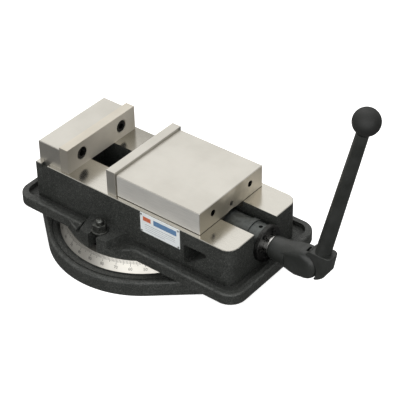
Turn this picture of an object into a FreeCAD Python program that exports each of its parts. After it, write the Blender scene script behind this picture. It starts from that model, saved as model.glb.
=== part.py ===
import FreeCAD, Part
import math
import os

# Six-inch precision machine vise on a swivel base.
# Millimetres, +Z up.  Origin: where the swivel axis meets the underside of the base.
# +X points along the lead screw to the crank handle.

V = FreeCAD.Vector
X_AXIS = V(1, 0, 0)
Y_AXIS = V(0, 1, 0)
Z_AXIS = V(0, 0, 1)

# ---- driving dimensions ----
JAW_WIDTH = 152.0                 # the nominal size of the vise
OPENING = 76.0                    # gap between the jaw plates as modelled

BASE_RADIUS = 150.0
BASE_HEIGHT = 42.0
BASE_RIM_HEIGHT = 25.0
SCALE_FOOT_RADIUS = 130.0
TOP_RADIUS = 121.0
LUG_REACH = 200.0
LUG_HALF_WIDTH = 28.0
LUG_TANGENT_ANGLE = 50.0
TABLE_SLOT_RADIUS = 8.75
TABLE_SLOT_X = (167.0, 183.0)     # centres of each slot's two round ends
PIVOT_RADIUS = 20.0

BED_TOP = 119.0
BED_BACK = -143.5
BED_FRONT = 225.0
BED_HALF_WIDTH = 80.4
CHANNEL_HALF_WIDTH = 26.7
CHANNEL_FLOOR = 57.0
CHANNEL_BACK = -104.0
FLANGE_BACK = -171.0
FLANGE_FRONT = 248.0
FLANGE_HALF_WIDTH = 103.8
FLANGE_CORNER = 26.0
FLANGE_BOTTOM = 46.0
FLANGE_TOP = 63.5
GUTTER_FLOOR = 55.5
RIM_WIDTH = 10.0
FOOT_RADIUS = 120.0

CLAMP_Y = 101.0                   # clamp studs stand this far each side of the swivel axis
CLAMP_LUG_TOP = 68.0
STUD_RADIUS = 6.0
STUD_TOP = CLAMP_LUG_TOP + 19.5
CLAMP_SLOT_RADIUS = 8.0
NUT_ACROSS_FLATS = 19.0
NUT_HEIGHT = 10.0
WASHER_RADIUS = 13.5
WASHER_THICKNESS = 2.5

FIXED_FACE_X = -80.0
PLATE_THICKNESS = 15.9
PLATE_HEIGHT = 41.5
FIXED_JAW_BACK = -140.0
FIXED_JAW_HEIGHT = 35.5
JAW_HALF_WIDTH = 73.8
PLATE_SCREW_Y = 44.5
PLATE_SCREW_Z = BED_TOP + 21.0
PLATE_BORE_RADIUS = 10.4

MOVABLE_FACE_X = FIXED_FACE_X + OPENING
MOVABLE_JAW_LENGTH = 153.5
MOVABLE_JAW_HEIGHT = 37.1
SLIDE_GAP = 0.1
REAR_TAP_Y = 43.5
REAR_TAP_RADIUS = 5.15

SCREW_Z = 89.0
THREAD_RADIUS = 12.5
SHAFT_RADIUS = 12.0
TUBE_RADIUS = 24.5
TUBE_BORE = 17.2
TUBE_BACK = 147.0
BORE_SHOULDER_X = 206.0
CAP_RADIUS = 28.5
CAP_THICKNESS = 7.0
HEX_ACROSS_FLATS = 19.0
ARCH_RADIUS = 32.5

PIN_X = 296.8                     # handle fold axis
PIN_Z = SCREW_Z + 1.5
CHEEK_RADIUS = 23.3
CHEEK_INNER_Y = 5.2
CHEEK_OUTER_Y = 16.5
ARM_BASE_X = 323.5                # where the rod leaves its boss
ARM_BASE_Z = 120.0
ROD_RADII = (11.4, 9.0)           # at the boss and at the ball
BALL_X = 378.5
BALL_Z = 356.8
BALL_RADIUS = 19.2
BALL_STUD_RADIUS = 4.0

RUNNING_GAP = 0.05                # radial clearance of shafts and screws in their holes


# swivel tee slot
TEE_NECK = 7.1                    # half widths about the clamp circle
TEE_HALF_HEAD = 11.5
TEE_FLOOR = 19.0
TEE_CEILING = 31.0
PIN_FLOOR = 3.0                   # the pivot pin stands in a blind hole

# bed details
SADDLE_BACK = 205.0
WINDOW_X = (141.0, 181.0)
WINDOW_Z = (66.0, 96.0)
WINDOW_FLOOR_X = 149.0            # its far end slopes up from here
WINDOW_SLOPE_TOP = 91.0
KEY_X = (-132.0, -120.0)
KEY_DEPTH = 5.0
KEY_RISE = 4.4
JAW_BOLT_X = -109.0
JAW_BOLT_Y = 61.0
JAW_BOLT_RADIUS = 8.0
JAW_BOLT_HEAD_RADIUS = 12.0
JAW_BOLT_SEAT = 74.0

# movable jaw and lead nut
BODY_FRONT = MOVABLE_FACE_X + PLATE_THICKNESS
BODY_REAR = BODY_FRONT + MOVABLE_JAW_LENGTH
JAW_BOTTOM = BED_TOP + SLIDE_GAP
JAW_TOP = BED_TOP + MOVABLE_JAW_HEIGHT
KEEL_HALF_WIDTH = CHANNEL_HALF_WIDTH - 0.3
KEEL_BOTTOM = BED_TOP - 16.0
NUT_X = (32.0, 78.0)
NOSE_X = (38.0, 66.0)
NOSE_FOOT_Z = BED_TOP - 8.0       # the nose's leaning face starts here
NOSE_TOP = BED_TOP + 18.0
NOSE_LEAN = 0.6                   # run over rise of the leaning face
NOSE_HALF_WIDTH = 17.0
SEAT_RADIUS = 9.0
RETAINER_Z = BED_TOP + 12.4
RETAINER_RADIUS = 4.0

# lead screw, bearings and collar
SCREW_TIP = -60.0
SCREW_PITCH = 5.0
COLLAR_X = (186.0, 194.0)
HEX_X = (239.9, 262.0)
OUTER_COLLAR_X = (BED_FRONT + CAP_THICKNESS + 0.3, 239.8)
COLLAR_RADIUS = 16.0
COLLAR_PIN_RADIUS = 2.0
RACE_THICKNESS = 2.5
BALL_DIAMETER = 4.0
BALL_GAP = 0.05                   # between a ball and each race
BALL_ROW_X = COLLAR_X[1] + RACE_THICKNESS + BALL_DIAMETER / 2 + BALL_GAP
FIXED_RACE_X = BALL_ROW_X + BALL_DIAMETER / 2 + BALL_GAP
THRUST_BALL_CIRCLE = 14.4
THRUST_BALL_COUNT = 14
BUSH_RADIUS = 15.0
OIL_HOLE_X = 217.0
OIL_HOLE_RADIUS = 2.9
CAP_SCREW_RADIUS = 2.0
CAP_SCREW_CIRCLE = 20.5
CAP_SCREW_COUNT = 6

# handle joint
HUB_START_X = 240.0
HUB_START_RADIUS = 16.8
HUB_NECK_X = 269.0
HUB_NECK_RADIUS = 19.2
HUB_BULGE_RADIUS = 24.6
HUB_BULGE_X = 286.0
CHEEK_DOME = 10.5                 # edge rounding of the two cheeks
SOCKET_DEPTH = 24.5
FORK_FLOOR_RADIUS = 17.4
FORK_OPEN = (-113.0, 86.0)        # degrees about the pin, the sweep of the folding arm
PIN_RADIUS = 5.0
PIN_BLIND_Y = -11.0
ARM_GAP = 0.35
ARM_CLEARANCE = 0.8               # between the boss and the cheeks' rims
ARM_HALF_THICKNESS = 12.8
TONGUE_RADIUS = 17.0

# name plate
LABEL_X = (62.0, 134.5)
LABEL_Z = (84.0, 118.0)
LABEL_THICKNESS = 0.8


# ---- helpers ----
def block(x0, x1, y0, y1, z0, z1):
    return Part.makeBox(x1 - x0, y1 - y0, z1 - z0, V(x0, y0, z0))


def rod_x(radius, x0, x1, y=0.0, z=SCREW_Z):
    return Part.makeCylinder(radius, x1 - x0, V(x0, y, z), X_AXIS)


def rod_y(radius, y0, y1, x, z):
    return Part.makeCylinder(radius, y1 - y0, V(x, y0, z), Y_AXIS)


def rod_z(radius, z0, z1, x=0.0, y=0.0):
    return Part.makeCylinder(radius, z1 - z0, V(x, y, z0), Z_AXIS)


def prism(points, direction):
    """Closed outline of vectors pushed along a vector."""
    return Part.Face(Part.makePolygon(points + points[:1])).extrude(direction)


def hexagon(across_flats, start, direction, length):
    """Hexagonal bar from start along X or Z."""
    corner = across_flats / math.sqrt(3.0)
    turns = [math.radians(60.0 * side) for side in range(6)]
    if direction == X_AXIS:
        points = [start + V(0, corner * math.cos(t), corner * math.sin(t)) for t in turns]
    else:
        points = [start + V(corner * math.cos(t), corner * math.sin(t), 0) for t in turns]
    return prism(points, direction * length)


def revolve(points, centre=V(0, 0, 0)):
    """Turn an outline of (radius, height) pairs about a vertical line."""
    outline = [centre + V(radius, 0, height) for radius, height in points]
    face = Part.Face(Part.makePolygon(outline + outline[:1]))
    return face.revolve(centre, Z_AXIS, 360)


def lying(edge, axis):
    """True for a straight edge along the axis."""
    if len(edge.Vertexes) != 2:
        return False
    along = edge.Vertexes[1].Point.sub(edge.Vertexes[0].Point)
    return abs(along.normalize().dot(axis)) > 0.999


def upright_edges(shape, wanted):
    return [e for e in shape.Edges if lying(e, Z_AXIS) and wanted(e.CenterOfMass)]


def top_edges(shape, height):
    """Edges that lie wholly at one height."""
    return [e for e in shape.Edges
            if abs(e.BoundBox.ZMin - height) < 0.01 and abs(e.BoundBox.ZMax - height) < 0.01]


def rounded_slab(x0, x1, y0, y1, z0, z1, corner):
    slab = block(x0, x1, y0, y1, z0, z1)
    return slab.makeFillet(corner, upright_edges(slab, lambda c: True))


def grooved_rod(radius, x0, x1, pitch, depth):
    """Threaded length shown as a row of vee ridges along the lead screw's axis."""
    count = int((x1 - x0) / pitch)
    points = [V(x0, 0, SCREW_Z), V(x0, 0, SCREW_Z + radius - depth)]
    for turn in range(count):
        start = x0 + turn * pitch
        points.append(V(start + 0.15 * pitch, 0, SCREW_Z + radius - depth))
        points.append(V(start + 0.35 * pitch, 0, SCREW_Z + radius))
        points.append(V(start + 0.65 * pitch, 0, SCREW_Z + radius))
        points.append(V(start + 0.85 * pitch, 0, SCREW_Z + radius - depth))
    points.append(V(x1, 0, SCREW_Z + radius - depth))
    points.append(V(x1, 0, SCREW_Z))
    face = Part.Face(Part.makePolygon(points + points[:1]))
    return face.revolve(V(0, 0, SCREW_Z), X_AXIS, 360)


def socket_screw_x(head_x, y, z, thread_radius, shank, head_radius, head, sign):
    """Socket head screw along X; the head's outer face is at head_x, the shank runs to sign."""
    step = sign * X_AXIS
    body = Part.makeCylinder(head_radius, head, V(head_x, y, z), step)
    body = body.fuse(Part.makeCylinder(thread_radius, shank + head, V(head_x, y, z), step))
    corner = thread_radius * 0.95
    points = [V(head_x, y + corner * math.cos(math.radians(60 * i)),
                z + corner * math.sin(math.radians(60 * i))) for i in range(6)]
    return body.cut(prism(points, step * (head * 0.6)))


def save(name, *solids):
    shape = solids[0] if len(solids) == 1 else Part.makeCompound(list(solids))
    shape.exportStep("parts/" + name + ".step")


# ---- swivel base ----
def lug_plate():
    """Both table lugs as one plate whose flanks are tangent to the round base."""
    touch = math.radians(LUG_TANGENT_ANGLE)
    tx = BASE_RADIUS * math.cos(touch)
    ty = BASE_RADIUS * math.sin(touch)
    outline = [V(tx, -ty, 0), V(LUG_REACH, -LUG_HALF_WIDTH, 0), V(LUG_REACH, LUG_HALF_WIDTH, 0),
               V(tx, ty, 0), V(-tx, ty, 0), V(-LUG_REACH, LUG_HALF_WIDTH, 0),
               V(-LUG_REACH, -LUG_HALF_WIDTH, 0), V(-tx, -ty, 0)]
    plate = prism(outline, Z_AXIS * BASE_RIM_HEIGHT)
    return plate.makeFillet(14.0, upright_edges(plate, lambda c: abs(c.x) > LUG_REACH - 1))


def swivel_base():
    disc = rod_z(BASE_RADIUS, 0, BASE_RIM_HEIGHT).fuse(lug_plate()).removeSplitter()
    disc = disc.makeFillet(5.0, top_edges(disc, BASE_RIM_HEIGHT))
    crown = revolve([(0, 0), (SCALE_FOOT_RADIUS, 0), (SCALE_FOOT_RADIUS, BASE_RIM_HEIGHT + 0.5),
                     (TOP_RADIUS, BASE_HEIGHT), (0, BASE_HEIGHT)])
    ring_groove = revolve([(SCALE_FOOT_RADIUS, BASE_RIM_HEIGHT - 2.0), (134.0, BASE_RIM_HEIGHT - 2.0),
                           (134.0, BASE_RIM_HEIGHT + 1), (SCALE_FOOT_RADIUS, BASE_RIM_HEIGHT + 1)])
    outer_groove = revolve([(141.0, BASE_RIM_HEIGHT - 1.5), (143.0, BASE_RIM_HEIGHT - 1.5),
                            (143.0, BASE_RIM_HEIGHT + 1), (141.0, BASE_RIM_HEIGHT + 1)])
    base = disc.cut(ring_groove).cut(outer_groove).fuse(crown)
    base = base.cut(tee_slot())
    base = base.cut(rod_z(PIVOT_RADIUS, PIN_FLOOR, BASE_HEIGHT + 1))
    underside = revolve([(48, -1), (84, -1), (84, 12), (48, 12)])
    base = base.cut(underside)
    for side in (-1, 1):
        ends = sorted((side * TABLE_SLOT_X[0], side * TABLE_SLOT_X[1]))
        slot = block(ends[0], ends[1], -TABLE_SLOT_RADIUS, TABLE_SLOT_RADIUS, -1, BASE_HEIGHT)
        for end in ends:
            slot = slot.fuse(rod_z(TABLE_SLOT_RADIUS, -1, BASE_HEIGHT, end))
        base = base.cut(slot)
    return base


def tee_slot():
    slot = revolve([(CLAMP_Y - TEE_NECK, TEE_CEILING), (CLAMP_Y + TEE_NECK, TEE_CEILING),
                    (CLAMP_Y + TEE_NECK, BASE_HEIGHT + 1), (CLAMP_Y - TEE_NECK, BASE_HEIGHT + 1)])
    slot = slot.fuse(revolve([(CLAMP_Y - TEE_HALF_HEAD, TEE_FLOOR), (CLAMP_Y + TEE_HALF_HEAD, TEE_FLOOR),
                              (CLAMP_Y + TEE_HALF_HEAD, TEE_CEILING),
                              (CLAMP_Y - TEE_HALF_HEAD, TEE_CEILING)]))
    entry = block(CLAMP_Y - TEE_HALF_HEAD, CLAMP_Y + TEE_HALF_HEAD, -TEE_HALF_HEAD, TEE_HALF_HEAD,
                  TEE_FLOOR, BASE_HEIGHT + 1)
    return slot.fuse(entry)


def pivot_pin():
    pin = rod_z(PIVOT_RADIUS, PIN_FLOOR, CHANNEL_FLOOR - 4.0)
    return pin.makeChamfer(1.5, top_edges(pin, CHANNEL_FLOOR - 4.0))


def clamp_tee_bolts():
    bolts = []
    for side in (-1, 1):
        y = side * CLAMP_Y
        head = block(-10, 10, y - 10, y + 10, TEE_CEILING - 9.0, TEE_CEILING - 0.2)
        stud = rod_z(STUD_RADIUS, TEE_CEILING - 5, STUD_TOP, 0, y)
        stud = stud.makeFillet(3.2, top_edges(stud, STUD_TOP))
        bolts.append(head.fuse(stud))
    return bolts


def clamp_washers():
    rings = []
    for side in (-1, 1):
        y = side * CLAMP_Y
        ring = rod_z(WASHER_RADIUS, CLAMP_LUG_TOP, CLAMP_LUG_TOP + WASHER_THICKNESS, 0, y)
        ring = ring.makeChamfer(0.6, top_edges(ring, CLAMP_LUG_TOP + WASHER_THICKNESS))
        rings.append(ring.cut(rod_z(STUD_RADIUS + 0.5, 0, 200, 0, y)))
    return rings


def clamp_nut(side):
    y = side * CLAMP_Y
    bottom = CLAMP_LUG_TOP + WASHER_THICKNESS
    nut = hexagon(NUT_ACROSS_FLATS, V(0, y, bottom), Z_AXIS, NUT_HEIGHT)
    corner = NUT_ACROSS_FLATS / math.sqrt(3.0)
    dome = revolve([(0, 0), (corner - 1.2, 0), (corner + 0.1, 0.8), (corner + 0.1, NUT_HEIGHT - 1.0),
                    (corner - 1.6, NUT_HEIGHT), (0, NUT_HEIGHT)], V(0, y, bottom))
    return nut.common(dome).cut(rod_z(STUD_RADIUS + RUNNING_GAP, 0, 200, 0, y))


# ---- bed ----
def clamp_lug(side):
    """Raised seat for a clamp nut: a tapered block ended by the round foot."""
    half_wall = 36.0
    half_nose = 24.0
    wall_y = side * 79.0
    nose_y = side * 122.0
    outline = [V(-half_wall, wall_y, 42), V(half_wall, wall_y, 42),
               V(half_nose, nose_y, 42), V(-half_nose, nose_y, 42)]
    seat = prism(outline, Z_AXIS * (CLAMP_LUG_TOP - BASE_HEIGHT))
    return seat.common(rod_z(FOOT_RADIUS, BASE_HEIGHT, CLAMP_LUG_TOP))


def flange():
    slab = rounded_slab(FLANGE_BACK, FLANGE_FRONT, -FLANGE_HALF_WIDTH, FLANGE_HALF_WIDTH,
                        FLANGE_BOTTOM, FLANGE_TOP, FLANGE_CORNER)
    slab = slab.makeFillet(3.5, top_edges(slab, FLANGE_TOP))
    foot = rod_z(FOOT_RADIUS, BASE_HEIGHT, 60.5)
    inner_y = FLANGE_HALF_WIDTH - RIM_WIDTH
    foot = foot.makeFillet(2.5, top_edges(foot, 60.5))
    slab = slab.fuse(foot)
    gutter = rounded_slab(FLANGE_BACK + RIM_WIDTH, FLANGE_FRONT - RIM_WIDTH, -inner_y, inner_y,
                          GUTTER_FLOOR, FLANGE_TOP + 10, FLANGE_CORNER - RIM_WIDTH + 1)
    slab = slab.cut(gutter)
    for side in (-1, 1):
        near = side * (inner_y - 4)
        step = V(0, side * 40, 0)
        run_out = [V(-36, near, GUTTER_FLOOR), V(-36, near, 80), V(64, near, 80),
                   V(64, near, FLANGE_TOP), V(36, near, GUTTER_FLOOR)]
        slab = slab.cut(prism(run_out, step))
    return slab


def chip_window():
    """Opening through both rails, square at the back and sloped at the front."""
    outline = [V(WINDOW_X[0], -BED_HALF_WIDTH - 1, WINDOW_Z[0]),
               V(WINDOW_FLOOR_X, -BED_HALF_WIDTH - 1, WINDOW_Z[0]),
               V(WINDOW_X[1], -BED_HALF_WIDTH - 1, WINDOW_SLOPE_TOP),
               V(WINDOW_X[1], -BED_HALF_WIDTH - 1, WINDOW_Z[1]),
               V(WINDOW_X[0], -BED_HALF_WIDTH - 1, WINDOW_Z[1])]
    window = prism(outline, V(0, 2 * BED_HALF_WIDTH + 2, 0))
    upper = [e for e in window.Edges if lying(e, Y_AXIS) and e.CenterOfMass.z > WINDOW_SLOPE_TOP + 1]
    return window.makeFillet(3.5, upper)


def bed():
    body = block(BED_BACK, BED_FRONT, -BED_HALF_WIDTH, BED_HALF_WIDTH, FLANGE_BOTTOM, BED_TOP)
    body = body.makeFillet(18.0, upright_edges(body, lambda c: c.x > 0))
    body = body.makeChamfer(0.8, top_edges(body, BED_TOP))
    body = body.fuse(flange())
    for side in (-1, 1):
        body = body.fuse(clamp_lug(side))
    body = body.removeSplitter()
    body = body.cut(block(CHANNEL_BACK, BED_FRONT + 1, -CHANNEL_HALF_WIDTH, CHANNEL_HALF_WIDTH,
                          CHANNEL_FLOOR, BED_TOP + 1))
    saddle = block(SADDLE_BACK, BED_FRONT, -CHANNEL_HALF_WIDTH, CHANNEL_HALF_WIDTH,
                   CHANNEL_FLOOR, SCREW_Z)
    body = body.fuse(saddle)
    body = body.cut(rod_x(TUBE_RADIUS + RUNNING_GAP, SADDLE_BACK - 1, BED_FRONT + 1))
    body = body.cut(chip_window())
    for side in (-1, 1):
        y = side * CLAMP_Y
        body = body.cut(rod_z(CLAMP_SLOT_RADIUS, BASE_HEIGHT - 1, CLAMP_LUG_TOP + 1, 0, y))
        ends = sorted((y, side * 130))
        body = body.cut(block(-CLAMP_SLOT_RADIUS, CLAMP_SLOT_RADIUS, ends[0], ends[1],
                              BASE_HEIGHT - 1, CLAMP_LUG_TOP + 1))
    body = body.cut(rod_z(PIVOT_RADIUS + RUNNING_GAP, BASE_HEIGHT - 1, CHANNEL_FLOOR - 3.5))
    body = body.cut(block(KEY_X[0], KEY_X[1], -BED_HALF_WIDTH - 1, BED_HALF_WIDTH + 1,
                          BED_TOP - KEY_DEPTH, BED_TOP + 1))
    for y in (-JAW_BOLT_Y, JAW_BOLT_Y):
        body = body.cut(rod_z(JAW_BOLT_HEAD_RADIUS + 0.6, BASE_HEIGHT, JAW_BOLT_SEAT, JAW_BOLT_X, y))
        body = body.cut(rod_z(JAW_BOLT_RADIUS + 0.4, BASE_HEIGHT, BED_TOP + 1, JAW_BOLT_X, y))
    return body


# ---- fixed jaw ----
def fixed_jaw():
    front = FIXED_FACE_X - PLATE_THICKNESS
    top = BED_TOP + FIXED_JAW_HEIGHT
    jaw = block(FIXED_JAW_BACK, front, -JAW_HALF_WIDTH, JAW_HALF_WIDTH, BED_TOP, top)
    jaw = jaw.makeChamfer(1.0, top_edges(jaw, top))
    jaw = jaw.cut(block(KEY_X[0], KEY_X[1], -JAW_HALF_WIDTH - 1, JAW_HALF_WIDTH + 1,
                        BED_TOP - 1, BED_TOP + KEY_RISE + 0.1))
    for y in (-JAW_BOLT_Y, JAW_BOLT_Y):
        jaw = jaw.cut(rod_z(JAW_BOLT_RADIUS + RUNNING_GAP, BED_TOP - 1, BED_TOP + 24, JAW_BOLT_X, y))
    for y in (-PLATE_SCREW_Y, PLATE_SCREW_Y):
        jaw = jaw.cut(rod_x(STUD_RADIUS + RUNNING_GAP, front - 24, front + 1, y, PLATE_SCREW_Z))
    return jaw


def fixed_jaw_key():
    return block(KEY_X[0], KEY_X[1], -JAW_HALF_WIDTH + 1.0, JAW_HALF_WIDTH - 1.0,
                 BED_TOP - KEY_DEPTH, BED_TOP + KEY_RISE)


def fixed_jaw_bolts():
    bolts = []
    for y in (-JAW_BOLT_Y, JAW_BOLT_Y):
        head = rod_z(JAW_BOLT_HEAD_RADIUS, JAW_BOLT_SEAT - 16, JAW_BOLT_SEAT, JAW_BOLT_X, y)
        shank = rod_z(JAW_BOLT_RADIUS, JAW_BOLT_SEAT - 1, BED_TOP + 22, JAW_BOLT_X, y)
        socket = hexagon(14.0, V(JAW_BOLT_X, y, JAW_BOLT_SEAT - 17), Z_AXIS, 9.0)
        bolts.append(head.fuse(shank).cut(socket))
    return bolts


def jaw_plate(face_x, facing):
    """Hardened jaw plate; facing is +1 when its work face looks to +X."""
    back_x = face_x - facing * PLATE_THICKNESS
    x0, x1 = sorted((face_x, back_x))
    bottom = BED_TOP if facing > 0 else BED_TOP + SLIDE_GAP
    plate = block(x0, x1, -JAW_WIDTH / 2, JAW_WIDTH / 2, bottom, BED_TOP + PLATE_HEIGHT)
    plate = plate.makeChamfer(0.4, top_edges(plate, BED_TOP + PLATE_HEIGHT))
    for y in (-PLATE_SCREW_Y, PLATE_SCREW_Y):
        inward = X_AXIS * -facing
        plate = plate.cut(Part.makeCylinder(PLATE_BORE_RADIUS, 12.5, V(face_x, y, PLATE_SCREW_Z), inward))
        plate = plate.cut(Part.makeCylinder(STUD_RADIUS + 0.4, 40, V(face_x, y, PLATE_SCREW_Z), inward))
    return plate


def plate_screws(face_x, facing):
    return [socket_screw_x(face_x - facing * 0.5, y, PLATE_SCREW_Z, STUD_RADIUS, 22.0, 9.2, 12.0, -facing)
            for y in (-PLATE_SCREW_Y, PLATE_SCREW_Y)]


# ---- movable jaw and its nut ----
def nose_solid(grow):
    """Upright nose of the lead nut, its front leaning back; grow adds clearance."""
    half = NOSE_HALF_WIDTH + grow
    run = (NOSE_TOP - NOSE_FOOT_Z) * NOSE_LEAN
    outline = [V(NOSE_X[0] - grow, -half, NOSE_FOOT_Z), V(NOSE_X[1] + grow, -half, NOSE_FOOT_Z),
               V(NOSE_X[1] + grow, -half, NOSE_TOP + grow),
               V(NOSE_X[0] - grow + run, -half, NOSE_TOP + grow)]
    return prism(outline, V(0, 2 * half, 0))


def seat_ball(grow):
    """Half ball whose flat lies on the leaning face of the nose."""
    rise = NOSE_TOP - NOSE_FOOT_Z
    slope = math.atan2(1.0, NOSE_LEAN)
    normal = V(-math.sin(slope), 0, math.cos(slope))
    middle = V(NOSE_X[0] + rise * NOSE_LEAN / 2, 0, NOSE_FOOT_Z + rise / 2)
    return Part.makeSphere(SEAT_RADIUS + grow, middle + normal * 0.05, normal, 0, 90, 360)


def screw_nut():
    body = block(NUT_X[0], NUT_X[1], -KEEL_HALF_WIDTH, KEEL_HALF_WIDTH, CHANNEL_FLOOR + 3, BED_TOP - 17)
    body = body.fuse(nose_solid(0.0)).fuse(nose_foot())
    return body.cut(rod_x(THREAD_RADIUS + RUNNING_GAP, NUT_X[0] - 1, NUT_X[1] + 1))


def nose_foot():
    return block(NOSE_X[0], NOSE_X[1], -NOSE_HALF_WIDTH, NOSE_HALF_WIDTH, BED_TOP - 20, NOSE_FOOT_Z + 1)


def movable_jaw():
    jaw = block(BODY_FRONT, BODY_REAR, -JAW_HALF_WIDTH, JAW_HALF_WIDTH, JAW_BOTTOM, JAW_TOP)
    lower_sides = [e for e in jaw.Edges if lying(e, X_AXIS) and e.CenterOfMass.z < JAW_BOTTOM + 1]
    jaw = jaw.makeChamfer(1.0, top_edges(jaw, JAW_TOP) + lower_sides
                          + upright_edges(jaw, lambda c: c.x > BODY_REAR - 1))
    jaw = jaw.fuse(block(BODY_FRONT + 2, BODY_REAR, -KEEL_HALF_WIDTH, KEEL_HALF_WIDTH,
                         KEEL_BOTTOM, JAW_BOTTOM + 1))
    for side in (-1, 1):
        edge_y = side * JAW_HALF_WIDTH
        notch = sorted((edge_y - side * 3.0, edge_y + side))
        jaw = jaw.cut(block(BODY_FRONT - 1, BODY_FRONT + 1.8, notch[0], notch[1], BED_TOP - 1, JAW_TOP + 1))
    jaw = jaw.cut(rod_x(ARCH_RADIUS, NUT_X[1] + 12, BODY_REAR + 1))
    jaw = jaw.cut(rod_x(THREAD_RADIUS + 2, BODY_FRONT, NUT_X[1] + 13))
    well = block(NOSE_X[0] - 16, NOSE_X[1] + 3, -NOSE_HALF_WIDTH - 2, NOSE_HALF_WIDTH + 2,
                 KEEL_BOTTOM - 1, NOSE_FOOT_Z + 4)
    jaw = jaw.cut(well).cut(nose_solid(1.5)).cut(seat_ball(RUNNING_GAP))
    jaw = jaw.cut(rod_x(RETAINER_RADIUS + RUNNING_GAP, NOSE_X[1], BODY_REAR + 1, 0, RETAINER_Z))
    for y in (-PLATE_SCREW_Y, PLATE_SCREW_Y):
        jaw = jaw.cut(rod_x(STUD_RADIUS + RUNNING_GAP, BODY_FRONT - 1, BODY_FRONT + 24, y, PLATE_SCREW_Z))
    for y in (-REAR_TAP_Y, REAR_TAP_Y):
        jaw = jaw.cut(rod_x(REAR_TAP_RADIUS, BODY_REAR - 30, BODY_REAR + 1, y, BED_TOP + 21.5))
    return jaw


def jaw_retaining_screw():
    screw = rod_x(RETAINER_RADIUS, NOSE_X[1] + 0.02, NOSE_X[1] + 26, 0, RETAINER_Z)
    return screw.cut(hexagon(4.0, V(NOSE_X[1] + 20, 0, RETAINER_Z), X_AXIS, 7.0))


# ---- lead screw and bearings ----
def lead_screw():
    screw = grooved_rod(THREAD_RADIUS, SCREW_TIP, 170.0, SCREW_PITCH, 2.0)
    screw = screw.fuse(rod_x(SHAFT_RADIUS - 1.5, 169.0, COLLAR_X[0] + 1))
    screw = screw.fuse(rod_x(TUBE_BORE - 0.4, COLLAR_X[0], COLLAR_X[1]))
    screw = screw.fuse(rod_x(SHAFT_RADIUS, COLLAR_X[1] - 1, HEX_X[0]))
    return screw.fuse(hexagon(HEX_ACROSS_FLATS, V(HEX_X[0] - 1, 0, SCREW_Z), X_AXIS,
                              HEX_X[1] - HEX_X[0] + 1))


def bearing_housing():
    tube = rod_x(TUBE_RADIUS, TUBE_BACK, BED_FRONT)
    tube = tube.fuse(rod_x(CHANNEL_HALF_WIDTH - 0.3, SADDLE_BACK - 9, SADDLE_BACK - 0.1))
    tube = tube.cut(rod_x(TUBE_BORE, TUBE_BACK - 1, BORE_SHOULDER_X))
    tube = tube.cut(rod_x(BUSH_RADIUS, BORE_SHOULDER_X - 1, BED_FRONT + 1))
    tube = tube.cut(rod_z(OIL_HOLE_RADIUS, SCREW_Z + SHAFT_RADIUS, SCREW_Z + 30, OIL_HOLE_X))
    for y, z in cap_screw_places():
        tube = tube.cut(rod_x(CAP_SCREW_RADIUS + RUNNING_GAP, BED_FRONT - 11, BED_FRONT + 1, y, z))
    return tube


def cap_screw_places():
    places = []
    for index in range(CAP_SCREW_COUNT):
        turn = math.radians(360.0 * index / CAP_SCREW_COUNT)
        places.append((CAP_SCREW_CIRCLE * math.cos(turn), SCREW_Z + CAP_SCREW_CIRCLE * math.sin(turn)))
    return places


def screw_bush():
    bush = rod_x(BUSH_RADIUS, BORE_SHOULDER_X, BED_FRONT)
    bush = bush.cut(rod_x(SHAFT_RADIUS + RUNNING_GAP, BORE_SHOULDER_X - 1, BED_FRONT + 1))
    return bush.cut(rod_z(OIL_HOLE_RADIUS - 0.9, SCREW_Z, SCREW_Z + 30, OIL_HOLE_X))


def housing_cap():
    cap = rod_x(CAP_RADIUS, BED_FRONT, BED_FRONT + CAP_THICKNESS)
    rim = [e for e in cap.Edges if abs(e.BoundBox.XMin - BED_FRONT - CAP_THICKNESS) < 0.01
           and abs(e.BoundBox.XMax - BED_FRONT - CAP_THICKNESS) < 0.01]
    cap = cap.makeChamfer(1.2, rim)
    cap = cap.cut(rod_x(SHAFT_RADIUS + 0.3, BED_FRONT - 1, BED_FRONT + 10))
    for y, z in cap_screw_places():
        cap = cap.cut(rod_x(CAP_SCREW_RADIUS + 0.2, BED_FRONT - 1, BED_FRONT + 10, y, z))
    return cap


def cap_screws():
    return [socket_screw_x(BED_FRONT + CAP_THICKNESS + 2.4, y, z, CAP_SCREW_RADIUS, 16.0, 3.4, 2.4, -1)
            for y, z in cap_screw_places()]


def thrust_race(start):
    ring = rod_x(TUBE_BORE - 0.3, start, start + RACE_THICKNESS)
    return ring.cut(rod_x(SHAFT_RADIUS + 0.1, start - 1, start + 9))


def thrust_ball_places():
    places = []
    for index in range(THRUST_BALL_COUNT):
        turn = math.radians(360.0 * index / THRUST_BALL_COUNT)
        places.append(V(BALL_ROW_X, THRUST_BALL_CIRCLE * math.cos(turn),
                        SCREW_Z + THRUST_BALL_CIRCLE * math.sin(turn)))
    return places


def thrust_cage():
    ring = rod_x(TUBE_BORE - 0.5, BALL_ROW_X - 0.8, BALL_ROW_X + 0.8)
    ring = ring.cut(rod_x(SHAFT_RADIUS + 0.3, BALL_ROW_X - 2, BALL_ROW_X + 2))
    for place in thrust_ball_places():
        hole = Part.makeCylinder(BALL_DIAMETER / 2 + 0.08, 4, place - X_AXIS * 2, X_AXIS)
        ring = ring.cut(hole)
    return ring


def thrust_balls():
    return [Part.makeSphere(BALL_DIAMETER / 2, place) for place in thrust_ball_places()]


def bearing_spacer():
    """Sleeve that carries the fixed race against the housing's inner shoulder."""
    start = FIXED_RACE_X + RACE_THICKNESS
    sleeve = rod_x(TUBE_BORE - 0.1, start, BORE_SHOULDER_X)
    return sleeve.cut(rod_x(SHAFT_RADIUS + 0.4, start - 1, BORE_SHOULDER_X + 1))


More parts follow.
